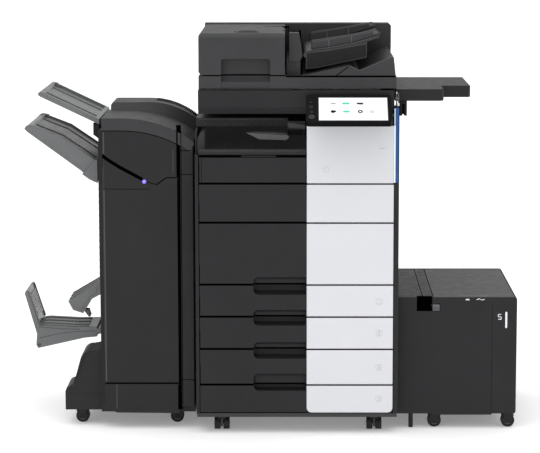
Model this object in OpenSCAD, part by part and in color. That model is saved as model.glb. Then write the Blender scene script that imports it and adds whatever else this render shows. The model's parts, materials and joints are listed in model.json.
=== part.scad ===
// Floor-standing office copier: main unit with four drawers, flatbed scanner and document
// feeder, a finisher on its left side and a large-capacity paper cabinet on its right side.
// Millimetres, +Z up. The outlines are laid out from the main unit's left front lower corner
// (X to the right, Y to the rear), then moved so that the origin is under the middle of the box.

/* [Main unit] */
// Width of the main unit
main_w = 615; // [610:1:620]
// Depth of the main unit behind its front panels
main_d = 688; // [680:1:700]
// Height of the lowest edge of the body above the floor
body_z = 52; // [50:1:53]
// Gap between neighbouring front panels
seam = 4; // [4:0.25:4.5]
// Left edge of the white panels
white_x = 337; // [335:1:339]
// How far the white panels stand proud of the dark ones
white_proud = 3; // [2:0.5:3]

/* [Scanner and feeder] */
// Underside of the scanner
scan_z = 981; // [981:0.5:982]
// Top of the platen glass
glass_z = 1053; // [1053:0.5:1053.5]
// Top of the document feeder
feeder_z = 1226; // [1225:1:1228]
// Slope of the control panel at rest, in degrees
panel_tilt = 33.5; // [30:0.5:36]

/* [Finisher] */
// Left side of the finisher's body
fin_x0 = -297; // [-300:1:-295]
// Top of the finisher's front edge
fin_top_z = 964; // [960:1:967]
// Top of the finisher's raised rear block
fin_block_z = 986; // [982:1:990]

/* [Paper cabinet] */
// Right side of the paper cabinet
cab_x1 = 983; // [980:1:986]
// Top of the paper cabinet
cab_z1 = 413; // [410:1:414]

/* [Fits] */
// Radius of the door hinge pins
pin_r = 2.5; // [2.25:0.25:2.5]
// Radial clearance of every pin in its bore
fit = 0.05; // [0.02:0.01:0.09]

/* [Hidden] */
$fn = 48;

// Heights of the seams between the front panels, from the lowest drawer up
seams = [153, 264, 364, 463, 653, 772];
base_top = 64;
panel_x0 = 12;
panel_x1 = 599;
panel_t = 14;
white_back = 2;
white_r = 16;
grip_x = [175, 334];
grip_depth = 24;
grip_r = 16;
// Top and bottom of the grip that spans each seam below the front door
grips = [[135, 188], [235, 286], [338, 386], [433, 487]];
drawer_x = [40, 575];
drawer_back = 540;
drawer_wall = 3;
rail_h = 4;
hinge_in = 6;
side_hinge = [608.5, 590];
hinge_up = 7;
side_t = 4;
plate_t = 3;
frame_y = [34, 660];
cavity_x1 = 335;
cavity_y1 = 480;
lip_z = 860;
upper_top = 957;

// Casters
wheel_r = 20;
caster_x = [76, 545];
caster_y = 55;
caster_trail = 12;
rear_axle_y = 620;
small_r = 21;
axle_r = 4;

// Scanner and feeder
scan_x = [10, 600];
scan_y = [14, 566];
scan_fold_z = 1003;
adf_x = [12, 606];
adf_y = [20, 556];
adf_z0 = 1058;
adf_deck_z = 1095;
feed_x1 = 271;
adf_hinge = [578, 1066];
adf_knuckle_x = [90, 510];
feed_hinge = [26, 1113];
tray_hinge = [334, 1153];
pocket_x = [80, 227];
pocket_z = 1147;
pocket_r = 9;
cover_r = 20;

// Control panel, about its own hinge line
panel_hinge = [2, 1020];
panel_x = [334, 588];
panel_len = 124;
panel_z = [6, 22];
panel_r = 9;
barrel_x = [400, 520];
screen_x = [372, 576.5];
screen_y = [-115, -7];
key_at = [351, -98];

// Finisher
fin_x1 = -6;
fin_y = [62, 640];
fin_skin = 22;
fin_gap_x = -50;
fin_left = -285;
fin_hinge = [-276, 71];
fin_wheel_x = [-363, -67];
fin_wheel_y = [164, 560];
fin_z0 = 50;
booklet_y = [185, 345];
fold_hinge = [-312, 283];

// Paper cabinet
cab_x0 = 617;
cab_y = [66, 590];
cab_z0 = 44;
cab_lid_x0 = 727;
cab_hinge = [971, 405];
cab_wheel_x = [733, 961];
cab_wheel_y = [102, 550];
lever_hinge = [73, 387];

// Extremes of the whole object, which set the origin
left_end = -542;
front_end = panel_hinge[0] - panel_len * cos(panel_tilt) - panel_z[1] * sin(panel_tilt);
centre = [(left_end + cab_x1) / 2, (front_end + main_d) / 2];

// ---- helpers ----
module span(x, y, z) {
    translate([x[0], y[0], z[0]]) cube([x[1] - x[0], y[1] - y[0], z[1] - z[0]]);
}

// Outline in X and Z, extruded from y[0] to y[1]
module along_y(y, points) {
    translate([0, y[1], 0]) rotate([90, 0, 0]) linear_extrude(height = y[1] - y[0]) polygon(points);
}

// Outline in Y and Z, extruded from x[0] to x[1]
module along_x(x, points) {
    translate([x[0], 0, 0]) rotate([90, 0, 90]) linear_extrude(height = x[1] - x[0]) polygon(points);
}

// Outline in X and Y, extruded from z[0] to z[1]
module along_z(z, points) {
    translate([0, 0, z[0]]) linear_extrude(height = z[1] - z[0]) polygon(points);
}

module rod_x(x, at, r) {
    translate([x[0], at[0], at[1]]) rotate([0, 90, 0]) cylinder(h = x[1] - x[0], r = r);
}

module rod_y(y, at, r) {
    translate([at[0], y[1], at[1]]) rotate([90, 0, 0]) cylinder(h = y[1] - y[0], r = r);
}

module rod_z(z, at, r) {
    translate([at[0], at[1], z[0]]) cylinder(h = z[1] - z[0], r = r);
}

module place() {
    translate([-centre[0], -centre[1], 0]) children();
}

// Points of an arc in degrees, with both ends
function arc(c, r, a0, a1, n) =
    [for (i = [0:n]) let (a = a0 + (a1 - a0) * i / n) [c[0] + r * cos(a), c[1] + r * sin(a)]];

function low(i) = seams[i] + seam / 2;
function high(i) = seams[i] - seam / 2;

// ---- front panels ----
// Dark plate across the front, set back where a white cover lies on it
module front_plate(z) {
    difference() {
        along_x([panel_x0, panel_x1],
            [[0, z[0] + 2.5], [2.5, z[0]], [panel_t, z[0]], [panel_t, z[1]], [0, z[1]]]);
        span([white_x - 1, panel_x1 + 1], [-1, white_back], [z[0] - 1, z[1] + 1]);
    }
}

module white_plate(z) {
    along_x([white_x, panel_x1],
        [[-white_proud, z[0] + 2.5], [0.5 - white_proud + 2, z[0]], [white_back, z[0]],
         [white_back, z[1]], [-white_proud, z[1]]]);
}

// Half of a grip, with its rounded corner at the top left or the bottom left
module grip_cut(z, at_top) {
    corner = at_top ? arc([grip_x[0] + grip_r, z[1] - grip_r], grip_r, 90, 180, 5) :
        arc([grip_x[0] + grip_r, z[0] + grip_r], grip_r, 180, 270, 5);
    along_y([-1, grip_depth], at_top ?
        concat([[grip_x[1], z[0]], [grip_x[1], z[1]]], corner, [[grip_x[0], z[0]]]) :
        concat([[grip_x[1], z[1]], [grip_x[0], z[1]]], corner, [[grip_x[1], z[0]]]));
}

module grip_back(z) {
    span([grip_x[0] - 5, grip_x[1] + 3], [panel_t, grip_depth + 4], z);
}

// A paper drawer: front plate, open box, side rails, lift plate and two side guides
module drawer(i) {
    z0 = i == 0 ? base_top + 3 : low(i - 1);
    z1 = high(i);
    floor_z = z0 + 8;
    rim_z = z1 - 14;
    rail_z = z0 + 40;
    difference() {
        union() {
            front_plate([z0, z1]);
            grip_back([rim_z, z1]);
            if (i > 0) grip_back([z0, grips[i - 1][1] + 4]);
            span(drawer_x, [panel_t, drawer_back], [floor_z, rim_z]);
            for (x = [[drawer_x[0] - 6, drawer_x[0]], [drawer_x[1], drawer_x[1] + 6]])
                span(x, [60, drawer_back - 10], [rail_z, rail_z + rail_h]);
        }
        span([drawer_x[0] + drawer_wall, drawer_x[1] - drawer_wall],
            [grip_depth + 8, drawer_back - drawer_wall], [floor_z + drawer_wall, rim_z + 1]);
        grip_cut([grips[i][0], z1 + 1], false);
        if (i > 0) grip_cut([z0 - 1, grips[i - 1][1]], true);
    }
    for (y = [[60, 63], [500, 503]])
        span([250, 400], y, [floor_z + drawer_wall, rim_z - 12]);
}

// A door hinged along its lower edge: plate, rim, and a bore at each end for the hinge pins
module drop_door(i, grip) {
    z = [low(i), high(i + 1)];
    axis = [hinge_in, z[0] + hinge_up];
    difference() {
        union() {
            front_plate(z);
            if (grip) grip_back([z[0], grips[3][1] + 4]);
            difference() {
                span([60, 560], [panel_t, panel_t + 10], [z[0] + 34, z[1] - 26]);
                span([64, 556], [panel_t, panel_t + 11], [z[0] + 38, z[1] - 30]);
            }
        }
        if (grip) grip_cut([z[0] - 1, grips[3][1]], true);
        rod_x([panel_x0 - 1, panel_x0 + 12], axis, pin_r + fit);
        rod_x([panel_x1 - 12, panel_x1 + 1], axis, pin_r + fit);
    }
}

module hinge_pins(x) {
    for (i = [3, 4])
        rod_x(x, [hinge_in, low(i) + hinge_up], pin_r);
}

// ---- main unit, fixed pieces ----
module chassis_frame() {
    color("dimgray") place() {
        difference() {
            union() {
                span([2, 613], [4, main_d - 6], [body_z, base_top]);
                for (x = caster_x)
                    rod_z([body_z - 6, base_top], [x, caster_y], 17);
            }
            for (x = caster_x)
                rod_z([body_z - 7, base_top - 2], [x, caster_y], 6 + fit);
        }
        for (x = [[panel_x0, panel_x0 + plate_t], [panel_x1 - plate_t + 2, panel_x1 + 2]])
            span(x, frame_y, [base_top, 770]);
        span([panel_x0, panel_x1 + 2], [frame_y[1], frame_y[1] + plate_t], [base_top, upper_top]);
        for (z = [466, 655, 768])
            span([panel_x0 + plate_t, panel_x1 - 1], [frame_y[0] + 6, frame_y[1]], [z, z + plate_t]);
        for (i = [0:3]) {
            rail_z = (i == 0 ? base_top + 3 : low(i - 1)) + 40;
            for (x = [[panel_x0 + plate_t, drawer_x[0] - 1], [drawer_x[1] + 1, panel_x1 - 1]])
                span(x, [60, 600], [rail_z - 6, rail_z - 1]);
        }
        for (x = caster_x) {
            span([x - 3, x + 3], [rear_axle_y - 14, rear_axle_y + 14], [12, body_z]);
            rod_x([x - 24, x + 24], [rear_axle_y, wheel_r], axle_r);
            span([x - 26, x + 26], [rear_axle_y - 22, rear_axle_y + 22], [wheel_r * 2 + 4, body_z]);
        }
    }
}

module left_cover() {
    color("#35363a") place() {
        span([0, 10], [0, frame_y[0]], [base_top, lip_z]);
        difference() {
            along_x([0, side_t],
                concat([[frame_y[0], base_top], [main_d - 6, base_top], [main_d - 6, 928]],
                    arc([80, 888], 40, 90, 180, 8), [[40, lip_z], [frame_y[0], lip_z]]));
            span([-1, side_t + 1], [300, 420], [880, 929]);
        }
        hinge_pins([8, panel_x0 + 10]);
    }
}

module right_cover() {
    color("#2e2f33") place() {
        difference() {
            span([panel_x1 + 2, main_w], [0, 60], [base_top, 1004]);
            span([panel_x1 + 1, 613], [-1, 8], [774, 1005]);
            span([panel_x1 + 4, main_w - 3], [12, 61], [base_top + 3, 1000]);
        }
        span([609, main_w], [60, main_d - 6], [base_top, 440]);
        span([609, main_w], [602, main_d - 6], [440, upper_top]);
        span([603, main_w], [581, 610], [432, 442]);
        span([603, main_w], [581, 610], [upper_top, upper_top + 8]);
        rod_z([441, 466], side_hinge, 3);
        rod_z([upper_top - 18, upper_top + 1], side_hinge, 3);
        hinge_pins([panel_x1 - 10, panel_x1 + 4]);
    }
}

module rear_cover() {
    rear_seams = [230, 640];
    inlet_x = [506, 534];
    inlet_z = [104, 124];
    color("#3a3b3f") place() {
        difference() {
            union() {
                span([2, 613], [main_d - 6, main_d], [body_z, scan_z - 1]);
                span([inlet_x[0] - 4, inlet_x[1] + 4], [main_d - 24, main_d - 6],
                    [inlet_z[0] - 4, inlet_z[1] + 4]);
            }
            span(inlet_x, [main_d - 21, main_d + 1], inlet_z);
            for (i = [0:11])
                span([120 + 14 * i, 127 + 14 * i], [main_d - 7, main_d + 1], [300, 380]);
            for (z = rear_seams)
                span([1, 614], [main_d - 1.5, main_d + 1], [z - 1.5, z + 1.5]);
            span([558.5, 561.5], [main_d - 1.5, main_d + 1], [rear_seams[0], rear_seams[1]]);
            for (x = [16, 599], z = rear_seams, side = [-16, 16])
                rod_y([main_d - 2, main_d + 1], [x, z + side], 5);
        }
        for (x = [-7, 0, 7])
            span([519 + x, 521 + x], [main_d - 21, main_d - 8], [x == 0 ? 115 : 108, x == 0 ? 119 : 112]);
        difference() {
            span([2, 613], [574, main_d - 6], [upper_top, scan_z - 1]);
            span([602, 614], [573, 611], [upper_top - 1, upper_top + 9]);
        }
        span([side_t, 609], [cavity_y1 + 8, 574], [upper_top, scan_z - 1]);
    }
}

module output_tray() {
    deck = lip_z + 4;
    color("#2b2c30") place() {
        along_x([panel_x0, cavity_x1],
            concat([[2, lip_z]], [[2, deck + 4]], arc([10, deck + 4], 8, 180, 90, 6),
                [[26, deck + 10], [60, deck], [300, deck + 6], [cavity_y1, deck + 34],
                 [cavity_y1, lip_z]]));
        span([panel_x0, cavity_x1], [cavity_y1, cavity_y1 + 6], [lip_z, scan_z - 1]);
        along_y([44, cavity_y1],
            concat([[side_t + 2, lip_z]], arc([28, 900], 22, 180, 90, 6), [[28, lip_z]]));
    }
}

module exit_housing() {
    color("#303136") place() difference() {
        span([white_x, panel_x1], [8, 570], [774, upper_top]);
        span([white_x + 4, panel_x1 - 4], [20, 566], [773, upper_top - 4]);
        span([white_x - 1, white_x + 6], [120, 420], [905, 925]);
    }
}

module relay_unit() {
    color("#232428") place() difference() {
        union() {
            span([-2, cavity_x1 - 1], [150, 420], [930, upper_top]);
            along_x([cavity_x1 - 56, cavity_x1 - 2],
                [[120, 924], [120, 950], [150, upper_top], [150, 905], [140, 905]]);
        }
        span([-3, 270], [170, 400], [936, 950]);
    }
}

module upper_front_cover() {
    color("#3c3d41") place() {
        span([panel_x0, cavity_x1], [0, panel_t], [low(5), lip_z - 2]);
        span([panel_x0 + 20, cavity_x1 - 20], [panel_t, 30], [low(5) + 20, lip_z - 20]);
    }
}

module white_upper_cover() {
    color("#e4e4e8") place() {
        span([white_x, panel_x1], [-white_proud, 7], [low(5), 948]);
    }
}

module side_light() {
    color("#3a6cc0") place() span([panel_x1 + 2, 612.5], [-2, 7.5], [776, 1002]);
}

module scanner_housing() {
    color("#3d3e42") place() {
        difference() {
            along_x(scan_x, [[scan_y[0], scan_fold_z], [30, scan_z], [scan_y[1], scan_z],
                [scan_y[1], glass_z], [scan_y[0], glass_z]]);
            along_x([scan_x[0] + 6, scan_x[1] - 6], [[scan_y[0] + 5, scan_fold_z + 3], [34, scan_z + 5],
                [scan_y[1] - 5, scan_z + 5], [scan_y[1] - 5, glass_z - 7], [scan_y[0] + 5, glass_z - 7]]);
            span([56, 564], [36, 494], [glass_z - 5, glass_z + 1]);
            span([66, 554], [46, 484], [glass_z - 8, glass_z]);
        }
        for (y = [110, 420])
            rod_x([15, scan_x[1] - 5], [y, 1000], 4);
        for (x = adf_knuckle_x)
            for (side = [-1, 1])
                difference() {
                    translate([side * 18, 0, 0])
                        span([x - 4, x + 4], [scan_y[1] - 6, 592], [scan_z + 30, 1078]);
                    rod_x([x - 30, x + 30], adf_hinge, 5 + fit);
                }
        for (x = [[barrel_x[0] - 8, barrel_x[0] - 1], [barrel_x[1] + 1, barrel_x[1] + 8]]) {
            rod_x(x, panel_hinge, 5.5);
            span(x, [panel_hinge[0], scan_y[0]], [panel_hinge[1] - 5.5, panel_hinge[1] + 3]);
        }
        rod_x([barrel_x[0] - 8, barrel_x[0] + 12], panel_hinge, 3);
        rod_x([barrel_x[1] - 12, barrel_x[1] + 8], panel_hinge, 3);
    }
}

module platen_glass() {
    color("#9fb6bd") place() span([56, 564], [36, 494], [glass_z - 5, glass_z]);
}

module work_table() {
    color("#4a4b4f") place() {
        along_z([1017, glass_z], [[603, 64], [607, 60], [742, 60], [751, 69], [751, 184],
            [834, 184], [841, 191], [841, 498], [835, 504], [603, 504]]);
    }
}

module card_reader() {
    color("#2a2b2f") place() {
        difference() {
            span([618, 640], [62, 130], [972, 1017]);
            span([626, 632], [61, 110], [971, 1008]);
        }
    }
}

module toner_bottles() {
    color("#5c5d61") place()
        for (i = [0:3]) {
            rod_y([46, 430], [105 + 132 * i, 712], 40);
            rod_y([38, 46], [105 + 132 * i, 712], 26);
        }
}

module imaging_units() {
    color("#26272b") place()
        for (i = [0:3]) {
            span([55 + 132 * i, 155 + 132 * i], [50, 440], [500, 610]);
            rod_y([44, 50], [105 + 132 * i, 560], 18);
        }
}

module levelling_feet() {
    color("#242424") place()
        for (x = caster_x, y = [150, 540]) {
            rod_z([0, 8], [x, y], 20);
            rod_z([8, body_z], [x, y], 6);
        }
}

// ---- scanner and feeder, moving pieces ----
module scan_carriage() {
    color("#1f2023") place() difference() {
        span([40, 66], [40, 490], [990, 1040]);
        span([49, 57], [60, 470], [1020, 1041]);
        for (y = [110, 420])
            rod_x([39, 67], [y, 1000], 4 + fit);
    }
}

module on_panel() {
    place() translate([0, panel_hinge[0], panel_hinge[1]]) rotate([panel_tilt, 0, 0]) children();
}

module control_panel() {
    color("#1c1d20") on_panel() difference() {
        union() {
            along_z(panel_z, concat(
                arc([panel_x[1] - panel_r, panel_z[0] - panel_r], panel_r, 0, 90, 5),
                arc([panel_x[0] + panel_r, panel_z[0] - panel_r], panel_r, 90, 180, 5),
                arc([panel_x[0] + panel_r, panel_r - panel_len], panel_r, 180, 270, 5),
                arc([panel_x[1] - panel_r, panel_r - panel_len], panel_r, 270, 360, 5)));
            rod_x(barrel_x, [0, 0], 8);
            span(barrel_x, [-8, 5], [0, panel_z[0]]);
        }
        rod_x([barrel_x[0] - 1, barrel_x[1] + 1], [0, 0], 3 + fit);
        span(screen_x, screen_y, [panel_z[1] - 2, panel_z[1] + 1]);
        rod_z([panel_z[1] - 6, panel_z[1] + 1], key_at, 6.4);
    }
}

module touch_screen() {
    color("#e8eef0") on_panel() span(screen_x, screen_y, [panel_z[1] - 2, panel_z[1] - 0.2]);
}

module home_key() {
    color("#b8bcc2") on_panel() rod_z([panel_z[1] - 4, panel_z[1] + 1.2], key_at, 6);
}

module adf_base() {
    color("#47484c") place() {
        difference() {
            span(adf_x, [adf_y[0], 500], [adf_z0, adf_deck_z]);
            along_x(pocket_x, [[adf_y[0] - 1, adf_z0 + 2], [adf_y[0] + 3, adf_z0 + 2],
                [adf_y[0] + 3, 1077], [adf_y[0] + 8, 1081], [adf_y[0] + 16, 1086],
                [adf_y[0] + 24, adf_deck_z + 1], [adf_y[0] - 1, adf_deck_z + 1]]);
        }
        difference() {
            along_y([500, adf_y[1]], [[adf_x[0], adf_z0], [adf_x[1], adf_z0], [609, 1152],
                [609, feeder_z - 8], [601, feeder_z], [adf_x[0], feeder_z]]);
            span([adf_x[0] + 5, adf_x[1] - 5], [505, adf_y[1] - 5], [adf_z0 - 1, feeder_z - 6]);
        }
        span([276, 318], [70, 500], [adf_deck_z, 1138]);
        along_y([64, 110], [[284, 1137], [316, 1137], [324, 1152], [319, 1190], [313, 1222],
            [284, 1222]]);
        along_y([adf_y[0] + 3, 500], [[319, adf_deck_z], [464, 1127], [494, 1111], [589, 1151],
            [598, 1151], [adf_x[1] - 2, adf_deck_z]]);
        for (x = adf_knuckle_x) {
            rod_x([x - 13, x + 13], adf_hinge, 9);
            rod_x([x - 22, x + 22], adf_hinge, 5);
            span([x - 12, x + 12], [adf_y[1], adf_hinge[0]], [adf_z0 + 2, adf_hinge[1] + 8]);
        }
    }
}

module platen_pad() {
    color("#e9e9e6") place() span([60, 560], [40, 490], [glass_z + 1, adf_z0]);
}

module adf_feed_cover() {
    z0 = adf_deck_z + 4;
    z1 = feeder_z - 3;
    color("#525357") place() difference() {
        intersection() {
            along_y([adf_y[0], 498], concat([[adf_x[0], z0 + 8], [adf_x[0] + 8, z0],
                [feed_x1, z0], [feed_x1, z1 - 4], [feed_x1 - 4, z1]],
                arc([adf_x[0] + 10, z1 - 10], 10, 90, 180, 5)));
            along_x([adf_x[0] - 1, feed_x1 + 1], concat([[498, z0 - 1], [498, z1]],
                arc([adf_y[0] + cover_r, z1 - cover_r], cover_r, 90, 180, 8),
                [[adf_y[0], z0 - 1]]));
        }
        along_y([adf_y[0] - 1, adf_y[0] + 30], concat([[pocket_x[0], z0 - 1]],
            arc([pocket_x[0] + pocket_r, pocket_z - pocket_r], pocket_r, 180, 90, 4),
            arc([pocket_x[1] - pocket_r, pocket_z - pocket_r], pocket_r, 90, 0, 4),
            [[pocket_x[1], z0 - 1]]));
        along_y([adf_y[0] + 36, 490], [[44, z0 - 1], [feed_x1 - 6, z0 - 1],
            [feed_x1 - 6, z1 - 6], [44, z1 - 6]]);
        rod_y([489, 499], feed_hinge, 4 + fit);
    }
}

// Deep-sided tray above the ejected sheets, hollow underneath
module adf_input_tray() {
    color("#35363a") place() {
        difference() {
            along_y([60, 496], [[334, 1113], [372, 1117], [464, 1137], [518, 1148], [518, 1196],
                [556, 1208], [556, 1213], [472, 1188], [404, 1176], [345, 1169.5], [334, 1166]]);
            along_y([65, 491], [[339, 1100], [372, 1100], [464, 1120], [513, 1130], [513, 1193],
                [472, 1181], [404, 1169], [339, 1161]]);
        }
        rod_y([60, 496], [tray_hinge[0] + 2, tray_hinge[1] + 3], 9);
    }
}

module guide(y) {
    color("#3f4044") place() along_y(y, [[350, 1171.5], [404, 1178], [472, 1190], [555, 1214],
        [560, 1221], [547, 1232], [462, 1216], [350, 1199]]);
}

module adf_guide_front() {
    guide([74, 86]);
}

module adf_guide_rear() {
    guide([478, 490]);
}

// ---- main unit, doors and drawers ----
module toner_door() {
    color("#3c3d41") place() drop_door(4, false);
}

module toner_door_white() {
    color("#e4e4e8") place() white_plate([low(4), high(5)]);
}

module front_door() {
    color("#3a3b3f") place() drop_door(3, true);
}

module front_door_white() {
    color("#e4e4e8") place() white_plate([low(3), high(4)]);
}

module right_door() {
    color("#333438") place() difference() {
        union() {
            span([603, main_w], [64, 580], [446, upper_top - 2]);
            rod_z([446, upper_top - 2], side_hinge, 6);
            span([605, 612], [579, side_hinge[1]], [446, upper_top - 2]);
        }
        span([602, 610], [76, 560], [460, upper_top - 16]);
        span([611, main_w + 1], [150, 520], [478, 792]);
        rod_z([445, 470], side_hinge, 3 + fit);
        rod_z([upper_top - 22, upper_top], side_hinge, 3 + fit);
    }
}

module bypass_tray() {
    color("#3b3c40") place() {
        difference() {
            span([611.5, 617], [152, 518], [488, 788]);
            span([613.5, 618], [220, 450], [560, 740]);
        }
        rod_y([152, 518], [616, 488], 4);
    }
}

module tray_1() {
    color("#37383c") place() drawer(3);
}

module tray_2() {
    color("#353639") place() drawer(2);
}

module tray_3() {
    color("#333438") place() drawer(1);
}

module tray_4() {
    color("#313236") place() drawer(0);
}

module tray_1_white() {
    color("#e4e4e8") place() white_plate([low(2), high(3)]);
}

module tray_2_white() {
    color("#e4e4e8") place() white_plate([low(1), high(2)]);
}

module tray_3_white() {
    color("#e4e4e8") place() white_plate([low(0), high(1)]);
}

module tray_4_white() {
    bottom = base_top + 3;
    color("#e4e4e8") place() intersection() {
        white_plate([bottom, high(0)]);
        along_y([-5, 5], concat([[white_x, high(0)]],
            arc([white_x + white_r, bottom + white_r], white_r, 180, 270, 6),
            arc([panel_x1 - white_r, bottom + white_r], white_r, 270, 360, 6),
            [[panel_x1, high(0)]]));
    }
}

// ---- casters ----
module caster_fork(x) {
    color("#3a3a3c") place() {
        rod_z([wheel_r * 2 + 2, body_z - 6.5], [x, caster_y], 15);
        rod_z([wheel_r * 2 + 2, base_top - 4], [x, caster_y], 6);
        span([x - 3, x + 3], [caster_y - 10, caster_y + caster_trail + 8],
            [wheel_r - 8, wheel_r * 2 + 3]);
        rod_x([x - 24, x + 24], [caster_y + caster_trail, wheel_r], axle_r);
    }
}

module twin_wheels(x, y) {
    for (side = [[x - 23, x - 4.5], [x + 4.5, x + 23]])
        difference() {
            rod_x(side, [y, wheel_r], wheel_r);
            rod_x([side[0] - 1, side[1] + 1], [y, wheel_r], axle_r + fit);
        }
}

module caster_fork_left() {
    caster_fork(caster_x[0]);
}

module caster_fork_right() {
    caster_fork(caster_x[1]);
}

module caster_wheels_left() {
    color("#1d1d1f") place() twin_wheels(caster_x[0], caster_y + caster_trail);
}

module caster_wheels_right() {
    color("#1d1d1f") place() twin_wheels(caster_x[1], caster_y + caster_trail);
}

module rear_wheels() {
    color("#1d1d1f") place()
        for (x = caster_x)
            twin_wheels(x, rear_axle_y);
}

// Fork with side cheeks and an axle along Y
module cheek_fork(x, y, top) {
    for (side = [[y - 17, y - 13], [y + 13, y + 17]])
        span([x - 12, x + 12], side, [small_r - 8, top]);
    rod_y([y - 17, y + 17], [x, small_r], axle_r);
}

module side_wheels(x, ys) {
    color("#1d1d1f") place()
        for (y = ys)
            difference() {
                rod_y([y - 12, y + 12], [x, small_r], small_r);
                rod_y([y - 13, y + 13], [x, small_r], axle_r + fit);
            }
}

// ---- finisher ----
// Top line of the front edge, falling to the right on an arc
fin_arc = [-223, 364];
block_arc = [-165, 240];
block_y = [335, 510];
block_x0 = -279;
block_lean = 58;
rear_drop = 30;
fin_seam = 37;
function drop(x, c) = x < c[0] ? 0 : c[1] - sqrt(pow(c[1], 2) - pow(x - c[0], 2));
function top_line(x0, x1, n, z, c) =
    [for (i = [0:n]) let (x = x0 + (x1 - x0) * i / n) [x, z - drop(x, c)]];
function fin_line(x0, x1, n, z) = top_line(x0, x1, n, z, fin_arc);

module finisher_housing() {
    color("#3b3c40") place() {
        difference() {
            along_y([fin_y[0] + fin_skin, fin_y[1]], concat([[fin_x1, fin_z0], [fin_x0, fin_z0]],
                fin_line(fin_x0, fin_x1, 16, fin_top_z - fin_seam - 1)));
            span([-270, -58], [fin_y[0] + fin_skin - 1, 600], [150, 730]);
            span([fin_x0 - 1, -269], [150, 480], [430, 470]);
        }
        along_y([fin_y[0], fin_y[0] + fin_skin], [[fin_gap_x - 8, fin_z0], [-249, fin_z0 + 2],
            [fin_left, 70], [fin_left, 142], [fin_gap_x - 3, 142], [fin_gap_x - 3, 60]]);
        along_y([fin_y[0], fin_y[0] + fin_skin], concat([[fin_gap_x + 3, 72], [fin_x1, 72]],
            fin_line(fin_x1, fin_gap_x + 3, 6, fin_top_z - fin_seam - 1)));
        along_y([110, 240], concat([[fin_x0, fin_z0], [fin_x0, 242], [-330, 236]],
            arc([-334, 206], 30, 80, 165, 5), [[-384, 138]],
            arc([-392, 106], 20, 75, 180, 5), [[-412, fin_z0]]));
        span([-390, fin_x0], [239, 600], [fin_z0, fin_z0 + 18]);
        for (z = [220, 330, 440, 550, 660])
            rod_y([fin_y[0] + 40, 600], [-155, z], 14);
        along_y([195, 330], [[fin_x0, 440], [-313, 432], [-406, 377], [-392, 350], [-362, 340],
            [-333, 386], [fin_x0, 404]]);
        rod_z([136, 154], fin_hinge, pin_r);
        for (x = fin_wheel_x, y = fin_wheel_y)
            cheek_fork(x, y, fin_z0);
    }
}

module finisher_top_cover() {
    seam_z = fin_top_z - fin_seam;
    color("#55565a") place() {
        along_y([fin_y[0], block_y[0]], concat(fin_line(fin_left, fin_x1, 16, fin_top_z),
            fin_line(fin_x1, fin_left, 16, seam_z)));
        intersection() {
            for (part = [[block_y[0], block_y[1], 0], [block_y[1], fin_y[1], rear_drop]])
                along_y([part[0], part[1]], concat(
                    arc([block_x0 + 10, fin_block_z - part[2] - 10], 10, 180, 90, 4),
                    top_line(-260, fin_x1, 16, fin_block_z - part[2], block_arc),
                    fin_line(fin_x1, block_x0, 16, seam_z)));
            translate([0, block_y[0], fin_top_z]) rotate([block_lean, 0, 0])
                along_y([-40, 420], concat(fin_line(fin_x0, fin_x1 + 1, 16, 0),
                    [[fin_x1 + 1, -420], [fin_x0, -420]]));
        }
    }
}

// The groove between this cover and the door is wide up to the status lamp, then narrow
module finisher_upper_front() {
    color("#3d3e42") place() along_y([fin_y[0], fin_y[0] + fin_skin], concat(
        fin_line(fin_left + 4, fin_gap_x - 4, 12, fin_top_z - fin_seam - 2),
        [[fin_gap_x - 4, 783], [-89, 783], [-103, 774], [-118, 762], [-150, 770.5],
        [-161, 780], [-228, 816], [-263, 838], [fin_left, 853],
        [fin_left, fin_top_z - fin_seam - 6]]));
}

module finisher_front_door() {
    color("#37383c") place() difference() {
        union() {
            along_y([fin_y[0], fin_y[0] + 14], [[fin_left, 146], [fin_gap_x - 3, 146],
                [fin_gap_x - 3, 781.5], [-88.5, 781.5], [-102, 772.5], [-117.5, 760.5],
                [-150, 768.5], [-162, 774], [-229, 810], [-264, 832], [fin_left, 846]]);
            rod_z([148, 740], fin_hinge, 6);
            difference() {
                span([-258, -66], [fin_y[0] + 14, fin_y[0] + 20], [170, 725]);
                span([-254, -70], [fin_y[0] + 13, fin_y[0] + 21], [174, 721]);
            }
        }
        along_z([140, 850], [[fin_left - 1, fin_y[0] - 1], [fin_left + 8, fin_y[0] - 1],
            [fin_left - 1, fin_y[0] + 8]]);
        span([fin_left - 1, -254], [fin_y[0] + 4, fin_y[0] + 15], [814, 850]);
        rod_z([145, 161], fin_hinge, pin_r + fit);
    }
}

module finisher_upper_tray() {
    color("#8b8d90") place() difference() {
        along_y([130, 500], [[fin_x0, 938], [-478, 1024], [-484, 1029], [-482, 1036],
            [-474, 1039], [fin_x0, 955]]);
        along_y([138, 492], [[fin_x0 - 12, 951], [-466, 1025], [-470, 1042], [fin_x0 - 12, 980]]);
    }
}

module finisher_main_tray() {
    color("#8b8d90") place() difference() {
        along_y([130, 500], [[-303, 762], [-318, 762], [-357, 797], [-519, 916], [-527, 925],
            [-522, 932], [-504, 935], [-419, 902], [-328, 840], [-303, 824]]);
        along_y([138, 492], [[-312, 822], [-330, 834], [-420, 894], [-500, 926], [-505, 945],
            [-419, 912], [-312, 850]]);
        along_y([145, 485], [[-312, 760], [-322, 770], [-362, 804], [-440, 862], [-420, 880],
            [-334, 822], [-312, 806]]);
    }
}

module booklet_tray() {
    color("#8e9092") place() {
        along_y(booklet_y, [[left_end, 402], [-539, 411], [-533, 413], [-497, 300], [-474, 302],
            [-382, 297], [-318, 298], [-318, 266], [-358, 262], [-503, 229], [-509, 240],
            [-506, 274]]);
        rod_y(booklet_y, fold_hinge, 9);
    }
}

module finisher_wheels_left() {
    side_wheels(fin_wheel_x[0], fin_wheel_y);
}

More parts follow.
